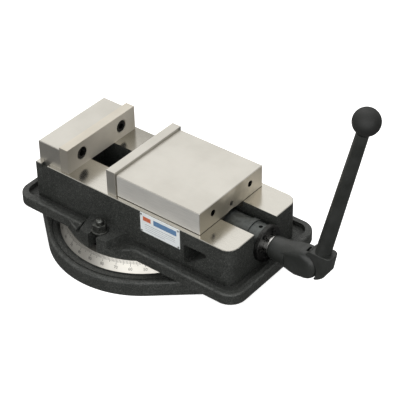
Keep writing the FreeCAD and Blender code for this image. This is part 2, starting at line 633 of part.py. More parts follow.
def screw_collar():
    ring = rod_x(COLLAR_RADIUS, OUTER_COLLAR_X[0], OUTER_COLLAR_X[1])
    ring = ring.cut(rod_x(SHAFT_RADIUS, OUTER_COLLAR_X[0] - 1, OUTER_COLLAR_X[1] + 1))
    middle = (OUTER_COLLAR_X[0] + OUTER_COLLAR_X[1]) / 2
    return ring.cut(rod_z(COLLAR_PIN_RADIUS, SCREW_Z + SHAFT_RADIUS - 1, SCREW_Z + 20, middle))


def collar_set_screw():
    middle = (OUTER_COLLAR_X[0] + OUTER_COLLAR_X[1]) / 2
    return rod_z(COLLAR_PIN_RADIUS - RUNNING_GAP, SCREW_Z + SHAFT_RADIUS, SCREW_Z + 15.2, middle)


# ---- handle ----
def about_pin(radius, degrees):
    turn = math.radians(degrees)
    return V(PIN_X + radius * math.cos(turn), 0, PIN_Z + radius * math.sin(turn))


def fork_body():
    """Solid end of the hub before its slot: a domed slab round the fold pin."""
    low = PIN_Z - SCREW_Z
    outline = [V(HUB_NECK_X - 6, -CHEEK_OUTER_Y, SCREW_Z - HUB_NECK_RADIUS),
               V(PIN_X - 12, -CHEEK_OUTER_Y, PIN_Z - CHEEK_RADIUS - low),
               V(PIN_X, -CHEEK_OUTER_Y, PIN_Z - CHEEK_RADIUS),
               V(PIN_X, -CHEEK_OUTER_Y, PIN_Z + CHEEK_RADIUS),
               V(HUB_NECK_X - 6, -CHEEK_OUTER_Y, SCREW_Z + HUB_NECK_RADIUS)]
    slab = prism(outline, V(0, 2 * CHEEK_OUTER_Y, 0))
    slab = slab.fuse(rod_y(CHEEK_RADIUS, -CHEEK_OUTER_Y, CHEEK_OUTER_Y, PIN_X, PIN_Z))
    slab = slab.removeSplitter()
    back_x = HUB_NECK_X - 6
    rims = [e for e in slab.Edges if abs(abs(e.CenterOfMass.y) - CHEEK_OUTER_Y) < 0.01
            and e.CenterOfMass.x > back_x + 0.1]
    return slab.makeFillet(CHEEK_DOME, rims)


def hub_envelope():
    """Round form the hub is turned to: a cone that swells into the fork."""
    profile = [(0, HUB_START_X), (HUB_START_RADIUS, HUB_START_X), (HUB_NECK_RADIUS, HUB_NECK_X - 6),
               (HUB_BULGE_RADIUS, HUB_BULGE_X), (HUB_BULGE_RADIUS + 8, HUB_BULGE_X + 12),
               (HUB_BULGE_RADIUS + 8, PIN_X + 40), (0, PIN_X + 40)]
    points = [V(x, 0, SCREW_Z + radius) for radius, x in profile]
    face = Part.Face(Part.makePolygon(points + [points[0]]))
    return face.revolve(V(0, 0, SCREW_Z), X_AXIS, 360)


def fork_slot():
    """Room for the arm's tongue, open over the whole sweep of the fold."""
    floor = rod_y(FORK_FLOOR_RADIUS, -CHEEK_INNER_Y, CHEEK_INNER_Y, PIN_X, PIN_Z)
    steps = 6
    span = (FORK_OPEN[1] - FORK_OPEN[0]) / steps
    corners = [about_pin(0, 0)] + [about_pin(60, FORK_OPEN[0] + span * index) for index in range(steps + 1)]
    wedge = prism([c + V(0, -CHEEK_INNER_Y, 0) for c in corners], V(0, 2 * CHEEK_INNER_Y, 0))
    return floor.fuse(wedge)


def fold_clearance():
    """Cuts the hub's root back where the folded arm's boss comes round."""
    ring = rod_y(60, -40, 40, PIN_X, PIN_Z)
    ring = ring.cut(rod_y(CHEEK_RADIUS + 0.05, -41, 41, PIN_X, PIN_Z))
    corners = [about_pin(0, 0), about_pin(90, FORK_OPEN[0]), about_pin(90, -60), about_pin(90, 0),
               about_pin(90, 60), about_pin(90, FORK_OPEN[1])]
    return ring.common(prism([c + V(0, -40, 0) for c in corners], V(0, 80, 0)))


def handle_hub():
    barrel = Part.makeCone(HUB_START_RADIUS, HUB_NECK_RADIUS, HUB_NECK_X - HUB_START_X,
                           V(HUB_START_X, 0, SCREW_Z), X_AXIS)
    back = [e for e in barrel.Edges if abs(e.BoundBox.XMax - HUB_START_X) < 0.01]
    barrel = barrel.makeFillet(2.0, back)
    hub = barrel.fuse(fork_body().common(hub_envelope()))
    hub = hub.cut(fork_slot()).cut(fold_clearance())
    hub = hub.cut(hexagon(HEX_ACROSS_FLATS + 0.3, V(HUB_START_X - 1, 0, SCREW_Z), X_AXIS, SOCKET_DEPTH))
    return hub.cut(rod_y(PIN_RADIUS, PIN_BLIND_Y, 40, PIN_X, PIN_Z))


def handle_pin():
    pin = rod_y(PIN_RADIUS, PIN_BLIND_Y, CHEEK_OUTER_Y, PIN_X, PIN_Z)
    ends = [e for e in pin.Edges if not lying(e, Y_AXIS)]
    return pin.makeChamfer(0.8, ends)


def arm_axis():
    """Direction of the rod, from its boss to the ball."""
    return V(BALL_X - ARM_BASE_X, 0, BALL_Z - ARM_BASE_Z).normalize()


def rod_reach():
    """Length of the rod from the top of its boss to its seat in the ball."""
    return V(BALL_X, 0, BALL_Z).sub(V(ARM_BASE_X, 0, ARM_BASE_Z)).Length - BALL_RADIUS


def arm_boss():
    """Thick rounded block that carries the rod and wraps the cheeks' rims."""
    front_top = ARM_BASE_X + 19.0
    outline = [V(PIN_X + 2, 0, PIN_Z + 17), V(PIN_X + 6, 0, PIN_Z + 24.2), V(PIN_X + 13, 0, ARM_BASE_Z),
               V(front_top, 0, ARM_BASE_Z), V(front_top - 4.6, 0, PIN_Z + 3), V(front_top - 14, 0, PIN_Z - 12),
               about_pin(27, -34), about_pin(20, -33)]
    block_form = prism([p + V(0, -ARM_HALF_THICKNESS, 0) for p in outline], V(0, 2 * ARM_HALF_THICKNESS, 0))
    front = [e for e in block_form.Edges if not lying(e, Y_AXIS) and e.CenterOfMass.x > front_top - 12
             and e.CenterOfMass.z > PIN_Z - 8 and e.CenterOfMass.z < ARM_BASE_Z - 1]
    block_form = block_form.makeFillet(9.0, front)
    rims = [e for e in block_form.Edges if abs(e.BoundBox.ZMin - ARM_BASE_Z) < 0.01]
    block_form = block_form.makeFillet(1.2, rims)
    return block_form.cut(rod_y(CHEEK_RADIUS + ARM_CLEARANCE, -60, 60, PIN_X, PIN_Z))


def arm_tongue():
    half = CHEEK_INNER_Y - ARM_GAP
    tongue = rod_y(TONGUE_RADIUS, -half, half, PIN_X, PIN_Z)
    web = prism([V(PIN_X, -half, PIN_Z), about_pin(26, -32) + V(0, -half, 0), about_pin(32, 0) + V(0, -half, 0),
                 about_pin(34, 45) + V(0, -half, 0), about_pin(27, 75) + V(0, -half, 0)], V(0, 2 * half, 0))
    return tongue.fuse(web)


def handle_arm():
    up = arm_axis()
    start = V(ARM_BASE_X, 0, ARM_BASE_Z)
    arm = arm_boss().fuse(arm_tongue())
    arm = arm.fuse(Part.makeCone(ROD_RADII[0], ROD_RADII[1], rod_reach() + 6.0, start - up * 6.0, up))
    arm = arm.fuse(Part.makeCylinder(BALL_STUD_RADIUS, 15.0, start + up * (rod_reach() - 1.0), up))
    return arm.cut(rod_y(PIN_RADIUS + RUNNING_GAP, -40, 40, PIN_X, PIN_Z))


def handle_ball():
    up = arm_axis()
    seat = V(ARM_BASE_X, 0, ARM_BASE_Z) + up * rod_reach()
    ball = Part.makeSphere(BALL_RADIUS, seat + up * BALL_RADIUS)
    ball = ball.cut(Part.makeCylinder(12.0, 6.0, seat - up * 4.0, up))
    return ball.cut(Part.makeCylinder(BALL_STUD_RADIUS + RUNNING_GAP, 14.5, seat, up))


# ---- name plate ----
def label_rivet_places():
    inset = 2.4
    return [(x, z) for x in (LABEL_X[0] + inset, LABEL_X[1] - inset)
            for z in (LABEL_Z[0] + inset, LABEL_Z[1] - inset)]


def name_plate():
    plate = block(LABEL_X[0], LABEL_X[1], -BED_HALF_WIDTH - LABEL_THICKNESS, -BED_HALF_WIDTH,
                  LABEL_Z[0], LABEL_Z[1])
    for x, z in label_rivet_places():
        plate = plate.cut(rod_y(0.8, -BED_HALF_WIDTH - 5, -BED_HALF_WIDTH, x, z))
    return plate


def plate_rivets():
    rivets = []
    for x, z in label_rivet_places():
        face = -BED_HALF_WIDTH - LABEL_THICKNESS
        rivet = rod_y(0.8, face - 0.3, -BED_HALF_WIDTH, x, z)
        rivet = rivet.fuse(rod_y(1.5, face - 0.7, face, x, z))
        rivets.append(rivet)
    return rivets


# ---- write every node ----
def build():
    os.makedirs("parts", exist_ok=True)
    save("swivel_base", swivel_base())
    save("pivot_pin", pivot_pin())
    save("clamp_tee_bolts", *clamp_tee_bolts())
    save("clamp_washers", *clamp_washers())
    save("clamp_nut_near", clamp_nut(-1))
    save("clamp_nut_far", clamp_nut(1))
    save("bed", bed())
    save("fixed_jaw", fixed_jaw())
    save("fixed_jaw_key", fixed_jaw_key())
    save("fixed_jaw_bolts", *fixed_jaw_bolts())
    save("fixed_jaw_plate", jaw_plate(FIXED_FACE_X, 1))
    save("fixed_plate_screws", *plate_screws(FIXED_FACE_X, 1))
    save("movable_jaw", movable_jaw())
    save("movable_jaw_plate", jaw_plate(MOVABLE_FACE_X, -1))
    save("movable_plate_screws", *plate_screws(MOVABLE_FACE_X, -1))
    save("jaw_retaining_screw", jaw_retaining_screw())
    save("seat_half_ball", seat_ball(0.0))
    save("screw_nut", screw_nut())
    save("lead_screw", lead_screw())
    save("bearing_housing", bearing_housing())
    save("screw_bush", screw_bush())
    save("housing_cap", housing_cap())
    save("cap_screws", *cap_screws())
    save("thrust_race_turning", thrust_race(COLLAR_X[1]))
    save("thrust_race_fixed", thrust_race(FIXED_RACE_X))
    save("thrust_cage", thrust_cage())
    save("thrust_balls", *thrust_balls())
    save("bearing_spacer", bearing_spacer())
    save("screw_collar", screw_collar())
    save("collar_set_screw", collar_set_screw())
    save("handle_hub", handle_hub())
    save("handle_pin", handle_pin())
    save("handle_arm", handle_arm())
    save("handle_ball", handle_ball())
    save("name_plate", name_plate())
    save("plate_rivets", *plate_rivets())


build()
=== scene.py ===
import math

import bmesh
import bpy
from mathutils import Matrix, Vector


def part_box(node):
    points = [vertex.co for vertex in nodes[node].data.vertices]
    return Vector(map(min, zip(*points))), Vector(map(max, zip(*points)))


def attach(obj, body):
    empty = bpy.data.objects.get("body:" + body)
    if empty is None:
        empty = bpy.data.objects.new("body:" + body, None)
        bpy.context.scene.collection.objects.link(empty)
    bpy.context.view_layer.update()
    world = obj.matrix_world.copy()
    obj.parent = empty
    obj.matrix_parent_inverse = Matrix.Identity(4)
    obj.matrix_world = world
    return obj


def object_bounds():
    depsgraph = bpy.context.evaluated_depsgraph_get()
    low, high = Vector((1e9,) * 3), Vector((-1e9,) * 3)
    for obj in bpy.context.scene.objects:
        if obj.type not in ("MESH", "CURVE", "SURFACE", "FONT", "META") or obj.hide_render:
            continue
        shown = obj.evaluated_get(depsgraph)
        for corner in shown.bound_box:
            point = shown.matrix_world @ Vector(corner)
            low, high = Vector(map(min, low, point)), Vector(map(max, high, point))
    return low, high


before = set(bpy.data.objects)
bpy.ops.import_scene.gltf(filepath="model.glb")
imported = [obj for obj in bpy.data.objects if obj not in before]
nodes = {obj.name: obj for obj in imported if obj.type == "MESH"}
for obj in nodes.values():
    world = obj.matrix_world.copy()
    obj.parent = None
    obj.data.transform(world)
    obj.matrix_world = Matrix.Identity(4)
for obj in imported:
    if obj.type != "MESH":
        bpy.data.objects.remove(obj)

# Looks for the machine vise: materials, engraved scale, printed plate, studio and camera.
# Metres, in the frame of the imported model: the origin is on the swivel axis at the table,
# +X runs along the lead screw to the crank and the name plate is on the -Y side.

MM = 0.001
cad_low, cad_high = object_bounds()

# ---- places read from the frame ----
base_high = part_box("swivel_base")[1]
bed_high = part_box("bed")[1]
moving_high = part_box("movable_jaw")[1]
plate_low, plate_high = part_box("name_plate")
fixed_plate_low, fixed_plate_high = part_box("fixed_jaw_plate")

# the graduated bevel of the swivel base
SCALE_TOP_RADIUS = 121.0 * MM
SCALE_FOOT_RADIUS = 130.0 * MM
SCALE_TOP_Z = base_high.z
SCALE_FOOT_Z = 25.5 * MM

# edges of the places that get a finish of their own
EDGE_CHAMFER = 1.0 * MM           # a bed or jaw edge that is still bare steel
FADE = 0.2 * MM                   # how soon one finish gives way to the next
SKIN = 0.3 * MM                   # depth from a jaw's outside that counts as its face

# the tapped holes in the back of the movable jaw
REAR_HOLE_Y = 43.5 * MM
REAR_HOLE_HEIGHT = 21.5 * MM
REAR_HOLE_RADIUS = 5.3 * MM

# ---- camera: the angle the vise is seen from, in degrees, metres and millimetres of lens ----
VIEW_AZIMUTH = 38.85              # from -Y towards +X
VIEW_ELEVATION = 36.9
VIEW_ROLL = -1.02
VIEW_DISTANCE = 2.0894
VIEW_LENS = 129.4
VIEW_TARGET = Vector((0.1074, 0.0, 0.1108))
SENSOR_WIDTH = 36.0

# ---- studio: brightness of the white tent against height, 0 straight down and 1 straight up ----
SKY_TONES = ((0.0, 0.36), (1.0, 1.0), (0.46, 0.38), (0.54, 0.55), (0.66, 0.90), (0.80, 1.10))
SKY_TINT = (1.0, 0.99, 0.965)
SKY_BRIGHT_SIDE = Vector((-0.75, 0.66, 0.0))
SKY_SIDE_SPAN = (-0.1, 0.72)      # how far towards the bright side the shade ends
SKY_SHADE = 0.45                  # brightness of the other side, as a share
HORIZON_SPAN = (-0.1, 0.2)        # heights between which the bright side fades out
LIGHT_AIM = Vector((0.1, 0.0, 0.1))
FLOOR_SIZE = 30.0
FLOOR_GAP = 0.2 * MM              # the floor lies this far under the base
FLOOR_GLOW = 0.75


# ---- colours ----
def rgb(red, green, blue):
    """A colour socket's value, opaque."""
    return (red, green, blue, 1.0)


# cast iron under black paint
PAINT_DARK = rgb(0.040, 0.043, 0.039)
PAINT_LIGHT = rgb(0.072, 0.076, 0.071)
PAINT_PIT = rgb(0.012, 0.014, 0.012)
PAINT_SPECK = rgb(0.19, 0.19, 0.18)
PAINT_FLECK = rgb(0.105, 0.108, 0.102)
# paint rubbed lighter on rounded edges, also a painted highlight where they face up
PAINT_RUBBED_AND_LIT = rgb(0.100, 0.104, 0.098)

# bare steel
STEEL = rgb(0.70, 0.68, 0.63)
STEEL_DULL = rgb(0.62, 0.60, 0.55)
# darker steel: real stains on the base, a painted reflection on the far rail of the bed
STEEL_STAIN_AND_REFLECTION = rgb(0.22, 0.21, 0.18)
# darker steel: handling marks on the plate's top edge, painted shade towards its near end
STEEL_HANDLED_AND_SHADED = rgb(0.34, 0.32, 0.28)
MILLED_DULL = rgb(0.80, 0.79, 0.755)
MILLED_LIGHT = rgb(0.90, 0.885, 0.85)
# sawn rear face of the movable jaw; its darker end is also painted shade towards the near side
SAWN_DARK = rgb(0.54, 0.50, 0.41)
SAWN_LIGHT = rgb(0.92, 0.86, 0.74)
# painted shadow along the foot of the movable jaw
JAW_FOOT_SHADOW = rgb(0.05, 0.045, 0.035)
# painted shade inside the rear tapped holes
HOLE_PAINTED_SHADE = rgb(0.045, 0.042, 0.036)

ENAMEL_DUST = rgb(0.14, 0.14, 0.135)


# ---- node graphs ----
class Graph:
    """A material with short calls for the shader nodes used here."""

    def __init__(self, name):
        self.material = bpy.data.materials.new(name)
        self.material.use_nodes = True
        self.tree = self.material.node_tree
        self.shader = self.tree.nodes["Principled BSDF"]
        self.place = self.new("ShaderNodeTexCoord").outputs["Object"]

    def new(self, kind, **settings):
        made = self.tree.nodes.new(kind)
        for key, value in settings.items():
            setattr(made, key, value)
        return made

    def feed(self, socket, value):
        """Links an output to a socket, or sets the socket's own value."""
        if isinstance(value, bpy.types.NodeSocket):
            self.tree.links.new(value, socket)
        else:
            socket.default_value = value

    def stretch(self, scale):
        mapping = self.new("ShaderNodeMapping")
        self.feed(mapping.inputs["Vector"], self.place)
        mapping.inputs["Scale"].default_value = scale
        return mapping.outputs["Vector"]

    def noise(self, scale, detail=2.0, roughness=0.5, place=None):
        made = self.new("ShaderNodeTexNoise")
        self.feed(made.inputs["Vector"], self.place if place is None else place)
        made.inputs["Scale"].default_value = scale
        made.inputs["Detail"].default_value = detail
        made.inputs["Roughness"].default_value = roughness
        return made.outputs["Fac"]

    def cells(self, scale, smoothness=0.6):
        made = self.new("ShaderNodeTexVoronoi", feature="SMOOTH_F1")
        self.feed(made.inputs["Vector"], self.place)
        made.inputs["Scale"].default_value = scale
        made.inputs["Smoothness"].default_value = smoothness
        return made.outputs["Distance"]

    def maths(self, operation, first, second=0.0):
        made = self.new("ShaderNodeMath", operation=operation)
        self.feed(made.inputs[0], first)
        self.feed(made.inputs[1], second)
        return made.outputs[0]

    def span(self, value, low, high, to_low=0.0, to_high=1.0):
        """Smooth step from to_low at low to to_high at high."""
        made = self.new("ShaderNodeMapRange", interpolation_type="SMOOTHSTEP")
        self.feed(made.inputs["Value"], value)
        made.inputs["From Min"].default_value = low
        made.inputs["From Max"].default_value = high
        made.inputs["To Min"].default_value = to_low
        made.inputs["To Max"].default_value = to_high
        return made.outputs["Result"]

    def blend(self, share, first, second):
        """Colour mix: first where share is 0, second where it is 1."""
        made = self.new("ShaderNodeMix", data_type="RGBA")
        self.feed(made.inputs["Factor"], share)
        self.feed(made.inputs["A"], first)
        self.feed(made.inputs["B"], second)
        return made.outputs["Result"]

    def lerp(self, share, first, second):
        """Number mix: first where share is 0, second where it is 1."""
        made = self.new("ShaderNodeMix", data_type="FLOAT")
        self.feed(made.inputs["Factor"], share)
        self.feed(made.inputs["A"], first)
        self.feed(made.inputs["B"], second)
        return made.outputs["Result"]

    def length(self, first, second):
        """Length of a vector with these two parts."""
        first_square = self.maths("MULTIPLY", first, first)
        second_square = self.maths("MULTIPLY", second, second)
        return self.maths("SQRT", self.maths("ADD", first_square, second_square))

    def axis(self, name):
        made = self.new("ShaderNodeSeparateXYZ")
        self.feed(made.inputs[0], self.place)
        return made.outputs[name]

    def facing_up(self):
        made = self.new("ShaderNodeSeparateXYZ")
        self.feed(made.inputs[0], self.new("ShaderNodeNewGeometry").outputs["Normal"])
        return made.outputs["Z"]

    def bump(self, height, strength, distance, normal=None):
        made = self.new("ShaderNodeBump")
        self.feed(made.inputs["Height"], height)
        made.inputs["Strength"].default_value = strength
        made.inputs["Distance"].default_value = distance
        if normal is not None:
            self.feed(made.inputs["Normal"], normal)
        return made.outputs["Normal"]

    def finish(self, colour, roughness, normal=None, metallic=0.0, **own):
        self.feed(self.shader.inputs["Base Color"], colour)
        self.feed(self.shader.inputs["Roughness"], roughness)
        self.feed(self.shader.inputs["Metallic"], metallic)
        if normal is not None:
            self.feed(self.shader.inputs["Normal"], normal)
        for name, value in own.items():
            self.shader.inputs[name.replace("_", " ")].default_value = value
        return self.material


# ---- materials ----
def cast_paint(g):
    """Colour of the black paint: cloudy, pitted and specked, with rounded edges that face up rubbed
    lighter, as wear and as a painted highlight.
    """
    cloud = g.noise(22.0, 3.0, 0.6)
    speck = g.span(g.noise(900.0, 2.0), 0.56, 0.72)
    fleck = g.span(g.noise(330.0, 3.0, 0.7), 0.54, 0.70)
    grit = g.span(g.noise(560.0, 4.0, 0.75), 0.36, 0.66)
    paint = g.blend(g.span(cloud, 0.35, 0.68), PAINT_DARK, PAINT_LIGHT)
    paint = g.blend(g.maths("MULTIPLY", grit, 0.75), PAINT_PIT, paint)
    paint = g.blend(g.maths("MULTIPLY", speck, 0.60), paint, PAINT_SPECK)
    paint = g.blend(g.maths("MULTIPLY", fleck, 0.45), paint, PAINT_FLECK)
    up = g.facing_up()
    # rounded edges that face up: rubbed wear together with a painted highlight
    rounded = g.maths("MULTIPLY", g.span(up, 0.25, 0.55), g.span(up, 0.90, 0.98, 1.0, 0.0))
    rubbed_and_lit = g.maths("MULTIPLY", rounded, g.span(g.noise(120.0, 4.0, 0.7), 0.38, 0.66, 0.0, 0.55))
    return g.blend(rubbed_and_lit, paint, PAINT_RUBBED_AND_LIT)


def casting(name, steel_share, steel_stain_and_reflection, steel_rough, lines):
    """Sand-cast iron under satin black paint.

    steel_share marks its ground faces and steel_stain_and_reflection their darker places, real stains on
    the base and a painted reflection on the bed;
    lines is the scale of the tool marks on X, Y and Z.
    """
    g = Graph(name)
    paint = cast_paint(g)
    paint_rough = g.span(g.noise(160.0, 2.0), 0.3, 0.75, 0.40, 0.58)
    share = steel_share(g)
    streak = g.noise(1.0, 3.0, 0.6, g.stretch(lines))
    steel = g.blend(g.span(streak, 0.3, 0.7), STEEL_DULL, STEEL)
    steel = g.blend(steel_stain_and_reflection(g), steel, STEEL_STAIN_AND_REFLECTION)
    colour = g.blend(share, paint, steel)
    rough = g.lerp(share, paint_rough, g.span(streak, 0.25, 0.75, steel_rough[0], steel_rough[1]))
    grain = g.noise(420.0, 3.0, 0.65)
    sand = g.maths("ADD", grain, g.maths("MULTIPLY", g.cells(300.0), 0.7))
    sand_on_paint = g.maths("MULTIPLY", sand, g.maths("SUBTRACT", 1.0, share))
    return g.finish(colour, rough, g.bump(sand_on_paint, 0.85, 0.0009), share)


def bed_steel(g):
    """The rail tops with their chamfers."""
    top = g.span(g.axis("Z"), bed_high.z - EDGE_CHAMFER, bed_high.z - EDGE_CHAMFER + FADE)
    return g.maths("MULTIPLY", top, g.span(g.facing_up(), 0.4, 0.6))


def bed_stain(g):
    """Painted reflection darkening the far rail top between the jaws, in patches."""
    far = g.span(g.axis("Y"), 0.0, 60 * MM)
    between = g.span(g.axis("X"), -25 * MM, 10 * MM, 0.7, 0.0)
    patchy = g.span(g.noise(22.0, 3.0, 0.6), 0.25, 0.6, 0.7, 1.0)
    return g.maths("MULTIPLY", g.maths("MULTIPLY", far, between), patchy)


def base_steel(g):
    """The scale bevel and the face the bed turns on."""
    radius = g.length(g.axis("X"), g.axis("Y"))
    inside = g.span(radius, SCALE_FOOT_RADIUS + 0.1 * MM, SCALE_FOOT_RADIUS + 0.5 * MM, 1.0, 0.0)
    raised = g.span(g.axis("Z"), SCALE_FOOT_Z - 0.3 * MM, SCALE_FOOT_Z)
    return g.maths("MULTIPLY", inside, raised)


def base_stain(g):
    """Light handling marks all round the scale."""
    return g.span(g.noise(30.0, 3.0, 0.6), 0.3, 0.7, 0.08, 0.24)


def ground_shade(g, streak, cloud):
    """0 to 1 variation of ground steel: mostly broad cloud, with some of its grinding lines."""
    mixed = g.maths("ADD", g.maths("MULTIPLY", streak, 0.3), g.maths("MULTIPLY", cloud, 0.7))
    return g.span(mixed, 0.30, 0.66)


def ground_steel(name, along, light=STEEL, dull=STEEL_DULL, rough=(0.34, 0.42), stain=None):
    """Ground steel; along is the scale of its grinding lines on X, Y and Z, stain marks duller places,
    handling marks and painted shade.
    """
    g = Graph(name)
    streak = g.noise(1.0, 4.0, 0.65, g.stretch(along))
    cloud = g.noise(14.0, 3.0, 0.55)
    colour = g.blend(ground_shade(g, streak, cloud), dull, light)
    if stain is not None:
        colour = g.blend(stain(g), colour, STEEL_HANDLED_AND_SHADED)
    smudge = g.span(g.noise(38.0, 4.0, 0.7), 0.58, 0.8, 0.0, 0.10)
    roughness = g.maths("ADD", g.span(streak, 0.3, 0.7, rough[0], rough[1]), smudge)
    return g.finish(colour, roughness, g.bump(streak, 0.05, 0.00003), 1.0)


def plate_stain(g):
    """Handled top edge of the fixed plate, and painted shade darkening its face towards the near end."""
    height = g.axis("Z")
    edge = fixed_plate_high.z - 0.5 * MM
    top = g.span(height, edge, edge + SKIN, 0.0, 0.15)
    below = g.span(height, edge, edge + SKIN, 1.0, 0.0)
    # painted shade: the plate face darker towards its near end
    near = g.maths("MULTIPLY", below, g.span(g.axis("Y"), fixed_plate_low.y, 0.0, 0.75, 0.0))
    return g.maths("MAXIMUM", top, near)


def rear_holes(g):
    """Painted shade inside the two tapped holes in the back of the movable jaw."""
    across = g.maths("SUBTRACT", g.maths("ABSOLUTE", g.axis("Y")), REAR_HOLE_Y)
    above = g.maths("SUBTRACT", g.axis("Z"), bed_high.z + REAR_HOLE_HEIGHT)
    near_axis = g.span(g.length(across, above), REAR_HOLE_RADIUS, REAR_HOLE_RADIUS + 0.3 * MM, 1.0, 0.0)
    inside = g.span(g.axis("X"), moving_high.x - 0.8 * MM, moving_high.x - 0.4 * MM, 1.0, 0.0)
    return g.maths("MULTIPLY", near_axis, inside)


def moving_jaw_steel(name):
    """The movable jaw: bright ground top, duller milled sides, darker sawn rear face painted darker still
    towards the near side as painted shade, a painted shadow along its foot and painted shade inside the
    rear holes.
    """
    g = Graph(name)
    streak = g.noise(1.0, 4.0, 0.65, g.stretch((40.0, 1800.0, 1800.0)))
    cloud = g.noise(16.0, 3.0, 0.55)
    y = g.axis("Y")
    flank = g.span(g.maths("ABSOLUTE", y), moving_high.y - SKIN, moving_high.y - SKIN + FADE)
    rear = g.span(g.axis("X"), moving_high.x - SKIN, moving_high.x - SKIN + FADE)
    # painted shadow where the jaw meets the bed
    foot = g.span(g.axis("Z"), bed_high.z + 0.7 * MM, bed_high.z + 1.2 * MM, 0.85, 0.0)
    ground = g.blend(ground_shade(g, streak, cloud), STEEL_DULL, STEEL)
    milled = g.blend(g.span(streak, 0.3, 0.7), MILLED_DULL, MILLED_LIGHT)
    # painted shade: the rear face darker towards the near side, over random cloud
    cloud_and_rear_shading = g.maths("ADD", cloud, g.maths("MULTIPLY", y, 2.2))
    sawn = g.blend(g.span(cloud_and_rear_shading, 0.35, 0.65), SAWN_DARK, SAWN_LIGHT)
    colour = g.blend(flank, ground, milled)
    colour = g.blend(rear, colour, sawn)
    colour = g.blend(foot, colour, JAW_FOOT_SHADOW)
    colour = g.blend(rear_holes(g), colour, HOLE_PAINTED_SHADE)
    roughness = g.lerp(flank, g.span(streak, 0.3, 0.7, 0.32, 0.40), g.span(streak, 0.3, 0.7, 0.62, 0.70))
    roughness = g.lerp(rear, roughness, g.span(cloud, 0.3, 0.7, 0.56, 0.66))
    return g.finish(colour, roughness, g.bump(streak, 0.06, 0.00003), 1.0)


def turned_steel(name, light, dull, rough):
    """Lathe-turned steel whose fine rings run round the X axis."""
    g = Graph(name)
    rings = g.noise(1.0, 2.0, 0.5, g.stretch((3000.0, 6.0, 6.0)))
    cloud = g.noise(60.0, 3.0)
    shade = g.maths("ADD", rings, g.maths("SUBTRACT", cloud, 0.5))
    colour = g.blend(g.span(shade, 0.3, 0.7), dull, light)
    roughness = g.span(rings, 0.3, 0.7, rough[0], rough[1])
    return g.finish(colour, roughness, g.bump(rings, 0.2, 0.00008), 1.0)


def plain_metal(name, light, dull, rough, grain=500.0):
    """Metal with a fine mottled finish; grain is the scale of the mottling."""
    g = Graph(name)
    mottle = g.noise(grain, 3.0, 0.6)
    cloud = g.noise(grain * 0.12, 2.0)
    shade = g.maths("MULTIPLY", mottle, g.maths("ADD", cloud, 0.5))
    colour = g.blend(g.span(shade, 0.35, 0.65), dull, light)
    roughness = g.span(mottle, 0.3, 0.7, rough[0], rough[1])
    return g.finish(colour, roughness, g.bump(mottle, 0.25, 0.0001), 1.0)


def satin_paint(name, dark, light, rough, peel=260.0, depth=0.35):
    """Smooth black enamel with a slight orange peel and a few dull patches."""
    g = Graph(name)
    peel_height = g.noise(peel, 2.0, 0.5)
    cloud = g.noise(26.0, 3.0, 0.6)
    dust = g.span(g.noise(1100.0, 2.0), 0.62, 0.75, 0.0, 0.25)
    colour = g.blend(g.span(cloud, 0.35, 0.7), dark, light)
    colour = g.blend(dust, colour, ENAMEL_DUST)
    roughness = g.span(g.noise(70.0, 3.0), 0.3, 0.7, rough[0], rough[1])
    return g.finish(colour, roughness, g.bump(peel_height, depth, 0.0003))


def printed_white(name):
    """White enamelled label sheet, very slightly stained."""
    g = Graph(name)
    stain = g.noise(70.0, 4.0, 0.6)
    colour = g.blend(g.span(stain, 0.4, 0.8), rgb(0.93, 0.97, 0.98), rgb(0.86, 0.90, 0.91))
    return g.finish(colour, g.span(stain, 0.3, 0.7, 0.28, 0.42), g.bump(stain, 0.05, 0.0001))


def ink(name, colour, faded):
    """Printing ink, slightly uneven."""
    g = Graph(name)
    patch = g.noise(900.0, 2.0)
    mixed = g.blend(g.span(patch, 0.3, 0.75), colour, faded)
    return g.finish(mixed, g.span(patch, 0.3, 0.7, 0.35, 0.55), g.bump(patch, 0.05, 0.00005))


def assign(names, material):
    for name in names:
        slots = nodes[name].data.materials
        if not slots:
            slots.append(material)
        for index in range(len(slots)):
            slots[index] = material


GRIND_ALONG_X = (40.0, 1800.0, 1800.0)
GRIND_ALONG_Y = (1800.0, 30.0, 1800.0)

bed_casting = casting("bed casting", bed_steel, bed_stain, (0.15, 0.24), (60.0, 2200.0, 60.0))
base_casting = casting("base casting", base_steel, base_stain, (0.33, 0.43), (30.0, 30.0, 2600.0))
jaw_steel = ground_steel("ground steel", GRIND_ALONG_X)
fixed_plate_steel = ground_steel("fixed plate steel", GRIND_ALONG_Y, rgb(0.90, 0.86, 0.78),
                                 rgb(0.80, 0.76, 0.68), (0.66, 0.76), plate_stain)
moving_plate_steel = ground_steel("moving plate steel", GRIND_ALONG_Y, rough=(0.40, 0.50))
screw_steel = turned_steel("screw steel", rgb(0.42, 0.42, 0.40), rgb(0.26, 0.26, 0.25), (0.28, 0.42))
polished = turned_steel("polished steel", rgb(0.78, 0.77, 0.75), rgb(0.62, 0.61, 0.59), (0.10, 0.20))
bronze = turned_steel("bronze", rgb(0.58, 0.38, 0.16), rgb(0.42, 0.27, 0.11), (0.28, 0.40))
black_oxide = plain_metal("black oxide", rgb(0.060, 0.060, 0.058), rgb(0.028, 0.028, 0.027), (0.32, 0.48))
dark_zinc = plain_metal("weathered zinc", rgb(0.17, 0.175, 0.165), rgb(0.08, 0.083, 0.077), (0.28, 0.42))
tube_steel = plain_metal("tube steel", rgb(0.15, 0.16, 0.157), rgb(0.10, 0.107, 0.104), (0.50, 0.62), 160.0)
rivet_metal = plain_metal("rivet", rgb(0.62, 0.62, 0.60), rgb(0.42, 0.42, 0.41), (0.25, 0.4))
black_paint = satin_paint("handle paint", rgb(0.019, 0.021, 0.019), rgb(0.032, 0.034, 0.032), (0.34, 0.48))
ball_satin = satin_paint("ball satin", rgb(0.010, 0.011, 0.010), rgb(0.015, 0.016, 0.015), (0.50, 0.62),
                         peel=120.0, depth=0.12)

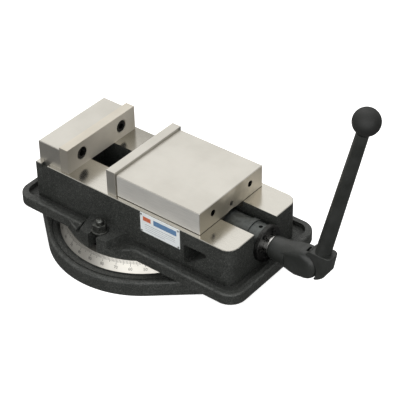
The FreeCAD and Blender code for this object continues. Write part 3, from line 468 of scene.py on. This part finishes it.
for names, material in (
        (["bed"], bed_casting),
        (["swivel_base"], base_casting),
        (["fixed_jaw", "fixed_jaw_key"], jaw_steel),
        (["movable_jaw"], moving_jaw_steel("moving jaw steel")),
        (["fixed_jaw_plate"], fixed_plate_steel),
        (["movable_jaw_plate"], moving_plate_steel),
        (["fixed_plate_screws", "movable_plate_screws", "fixed_jaw_bolts", "jaw_retaining_screw",
          "collar_set_screw", "housing_cap", "handle_pin", "cap_screws"], black_oxide),
        (["clamp_tee_bolts", "clamp_washers", "clamp_nut_near", "clamp_nut_far"], dark_zinc),
        (["bearing_housing", "bearing_spacer"], tube_steel),
        (["lead_screw", "screw_nut"], screw_steel),
        (["screw_collar", "pivot_pin", "seat_half_ball", "thrust_race_turning", "thrust_race_fixed",
          "thrust_balls"], polished),
        (["screw_bush", "thrust_cage"], bronze),
        (["handle_hub", "handle_arm"], black_paint),
        (["handle_ball"], ball_satin),
        (["name_plate"], printed_white("label white")),
        (["plate_rivets"], rivet_metal)):
    assign(names, material)


# ---- pieces ----
def piece(name, mesh, material, body):
    """A finished object from a bmesh, riding on a body."""
    data = bpy.data.meshes.new(name)
    mesh.to_mesh(data)
    mesh.free()
    data.materials.append(material)
    made = bpy.data.objects.new(name, data)
    bpy.context.scene.collection.objects.link(made)
    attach(made, body)
    return made


def add_block(mesh, size, matrix):
    """Adds a box of this size, centred on the matrix."""
    scaled = matrix @ Matrix.Diagonal((size[0], size[1], size[2], 1.0))
    bmesh.ops.create_cube(mesh, size=1.0, matrix=scaled)


SOFTEN_ANGLE = 40.0               # edges sharper than this are rounded


def soften(name, width):
    """Rounds a CAD node's sharp edges by a bevel modifier."""
    bevel = nodes[name].modifiers.new("edge", "BEVEL")
    bevel.width = width
    bevel.segments = 2
    bevel.limit_method = "ANGLE"
    bevel.angle_limit = math.radians(SOFTEN_ANGLE)
    bevel.harden_normals = True


# ---- engraved scale ----
MARK_THICKNESS = 0.06 * MM
MARK_WIDTH = 0.6 * MM
MARK_LENGTHS = {1: 4.6 * MM, 5: 6.6 * MM, 10: 8.4 * MM}
MARK_START = 0.6 * MM             # from the bevel's top edge down to the marks
DIGIT_SIZE = 4.6 * 1.35 * MM      # font size whose capitals are 4.6 mm high
DIGIT_BASE = 14.6 * MM            # from the bevel's top edge down to the foot of the digits
BEVEL_RUN = SCALE_FOOT_RADIUS - SCALE_TOP_RADIUS
BEVEL_DROP = SCALE_TOP_Z - SCALE_FOOT_Z


def bevel_frame(degrees, down):
    """Axes on the scale bevel, down metres below its top: X along the rim, Y up the slope, Z out of it."""
    turn = math.radians(degrees)
    outward = Vector((math.cos(turn), math.sin(turn), 0.0))
    rim = Vector((-math.sin(turn), math.cos(turn), 0.0))
    upward = (Vector((0, 0, BEVEL_DROP)) - outward * BEVEL_RUN).normalized()
    normal = rim.cross(upward)
    place = outward * SCALE_TOP_RADIUS + Vector((0, 0, SCALE_TOP_Z)) - upward * down
    matrix = Matrix((rim, upward, normal)).transposed().to_4x4()
    matrix.translation = place
    return matrix


def mark_length(degree):
    """Long marks every ten degrees, middling every five, short in between."""
    for step in (10, 5):
        if degree % step == 0:
            return MARK_LENGTHS[step]
    return MARK_LENGTHS[1]


def scale_marks():
    mesh = bmesh.new()
    for degree in range(360):
        length = mark_length(degree)
        add_block(mesh, (MARK_WIDTH, length, MARK_THICKNESS), bevel_frame(degree, MARK_START + length / 2))
    piece("scale_marks", mesh, scale_ink, "base")


def scale_digits():
    """Numbers every ten degrees, counting 0 to 90 from each end of the lug axis."""
    mesh = bmesh.new()
    for degree in range(0, 360, 10):
        count = degree % 180
        value = count if count <= 90 else 180 - count
        curve = bpy.data.curves.new("digit", "FONT")
        curve.body = str(value)
        curve.size = DIGIT_SIZE
        curve.align_x = "CENTER"
        curve.extrude = MARK_THICKNESS / 2
        curve.resolution_u = 3
        text = bpy.data.objects.new("digit", curve)
        flat = bpy.data.meshes.new_from_object(text)
        flat.transform(bevel_frame(degree, DIGIT_BASE))
        mesh.from_mesh(flat)
        bpy.data.objects.remove(text)
        bpy.data.meshes.remove(flat)
    piece("scale_digits", mesh, scale_ink, "base")


# ---- name plate print ----
INK_THICKNESS = 0.06 * MM

# left, low, length and height of each printed field, as shares of the plate
LABEL_BAR = [(0.34, 0.60, 0.58, 0.26)]
LABEL_CHIP = [(0.07, 0.62, 0.20, 0.22)]
LABEL_RULES = [(0.12, 0.44, 0.76, 0.020), (0.12, 0.34, 0.76, 0.014),
               (0.12, 0.24, 0.76, 0.014), (0.12, 0.14, 0.50, 0.014)]


def label_print(name, material, fields):
    """Plain fields printed on the name plate, with no lettering."""
    width = plate_high.x - plate_low.x
    height = plate_high.z - plate_low.z
    mesh = bmesh.new()
    for left, low, long, tall in fields:
        centre = Vector((plate_low.x + (left + long / 2) * width,
                         plate_low.y - INK_THICKNESS / 2,
                         plate_low.z + (low + tall / 2) * height))
        add_block(mesh, (long * width, INK_THICKNESS, tall * height), Matrix.Translation(centre))
    piece(name, mesh, material, "vise_body")


scale_ink = ink("scale ink", rgb(0.020, 0.020, 0.018), rgb(0.055, 0.052, 0.045))
label_blue = ink("label blue", rgb(0.10, 0.22, 0.42), rgb(0.20, 0.33, 0.52))
label_orange = ink("label orange", rgb(0.62, 0.13, 0.05), rgb(0.70, 0.22, 0.12))
label_grey = ink("label grey", rgb(0.30, 0.32, 0.34), rgb(0.45, 0.47, 0.48))

scale_marks()
scale_digits()
label_print("label_bar", label_blue, LABEL_BAR)
label_print("label_chip", label_orange, LABEL_CHIP)
label_print("label_rules", label_grey, LABEL_RULES)

for softened, width in (("fixed_jaw", 0.3), ("movable_jaw", 0.3), ("fixed_jaw_plate", 0.25),
                        ("movable_jaw_plate", 0.25), ("bed", 0.3)):
    soften(softened, width * MM)


# ---- studio ----
def floor():
    """Pale floor just under the base; it glows enough to stay white without lighting the vise."""
    mesh = bmesh.new()
    bmesh.ops.create_grid(mesh, x_segments=1, y_segments=1, size=FLOOR_SIZE)
    data = bpy.data.meshes.new("floor")
    mesh.to_mesh(data)
    mesh.free()
    made = bpy.data.objects.new("floor", data)
    made.location.z = cad_low.z - FLOOR_GAP
    bpy.context.scene.collection.objects.link(made)
    g = Graph("floor")
    tone = g.blend(g.noise(3.0), rgb(0.90, 0.90, 0.90), rgb(0.92, 0.92, 0.92))
    made.visible_glossy = False
    made.visible_diffuse = False
    data.materials.append(g.finish(tone, 0.8, Emission_Color=rgb(1.0, 1.0, 1.0),
                                   Emission_Strength=FLOOR_GLOW))


def area_light(name, place, size, power):
    """A white softbox aimed at the vise."""
    data = bpy.data.lights.new(name, "AREA")
    data.shape = "RECTANGLE"
    data.size = size[0]
    data.size_y = size[1]
    data.energy = power
    made = bpy.data.objects.new(name, data)
    made.location = place
    made.rotation_mode = "QUATERNION"
    made.rotation_quaternion = (LIGHT_AIM - Vector(place)).to_track_quat("-Z", "Y")
    bpy.context.scene.collection.objects.link(made)


def sky():
    """A tent of white cloth, bright overhead and on one side, dimmer towards and below the horizon."""
    world = bpy.data.worlds.new("studio")
    world.use_nodes = True
    tree = world.node_tree
    background = tree.nodes["Background"]

    def ramp(value, low, high, to_low=0.0):
        """Straight ramp from to_low at low to 1 at high."""
        made = tree.nodes.new("ShaderNodeMapRange")
        made.inputs["From Min"].default_value = low
        made.inputs["From Max"].default_value = high
        made.inputs["To Min"].default_value = to_low
        tree.links.new(value, made.inputs["Value"])
        return made.outputs["Result"]

    direction = tree.nodes.new("ShaderNodeTexCoord").outputs["Generated"]
    split = tree.nodes.new("ShaderNodeSeparateXYZ")
    tree.links.new(direction, split.inputs[0])
    height = split.outputs["Z"]

    tones = tree.nodes.new("ShaderNodeValToRGB")
    tree.links.new(ramp(height, -1.0, 1.0), tones.inputs["Fac"])
    tree.links.new(tones.outputs["Color"], background.inputs["Color"])
    stops = tones.color_ramp.elements
    for index, (at, tone) in enumerate(SKY_TONES):
        stop = stops[index] if index < 2 else stops.new(at)
        stop.position = at
        stop.color = rgb(tone * SKY_TINT[0], tone * SKY_TINT[1], tone * SKY_TINT[2])

    side = tree.nodes.new("ShaderNodeVectorMath")
    side.operation = "DOT_PRODUCT"
    side.inputs[1].default_value = SKY_BRIGHT_SIDE
    tree.links.new(direction, side.inputs[0])
    strength = tree.nodes.new("ShaderNodeMix")
    strength.inputs["A"].default_value = SKY_SHADE
    shade = ramp(side.outputs["Value"], SKY_SIDE_SPAN[0], SKY_SIDE_SPAN[1], SKY_SHADE)
    tree.links.new(shade, strength.inputs["B"])
    tree.links.new(ramp(height, HORIZON_SPAN[0], HORIZON_SPAN[1]), strength.inputs["Factor"])
    tree.links.new(strength.outputs["Result"], background.inputs["Strength"])
    bpy.context.scene.world = world


def camera():
    """The camera looks along back, turned about it by the roll."""
    data = bpy.data.cameras.new("camera")
    data.lens = VIEW_LENS
    data.sensor_width = SENSOR_WIDTH
    data.clip_start = 0.1
    data.clip_end = 50.0
    made = bpy.data.objects.new("camera", data)
    azimuth = math.radians(VIEW_AZIMUTH)
    elevation = math.radians(VIEW_ELEVATION)
    roll = math.radians(VIEW_ROLL)
    back = Vector((math.sin(azimuth) * math.cos(elevation),
                   -math.cos(azimuth) * math.cos(elevation), math.sin(elevation)))
    level = Vector((math.cos(azimuth), math.sin(azimuth), 0.0))
    up = back.cross(level)
    right = level * math.cos(roll) + up * math.sin(roll)
    up = back.cross(right)
    turned = Matrix((right, up, back)).transposed().to_4x4()
    turned.translation = VIEW_TARGET + back * VIEW_DISTANCE
    made.matrix_world = turned
    bpy.context.scene.collection.objects.link(made)
    bpy.context.scene.camera = made


floor()
sky()
area_light("front", (1.35, -2.10, 1.0), (5.5, 2.4), 62.0)
area_light("top", (0.0, 0.3, 2.4), (2.6, 2.0), 12.0)
camera()

scene = bpy.context.scene
scene.view_settings.view_transform = "Standard"
scene.view_settings.look = "None"
scene.view_settings.exposure = 0.0
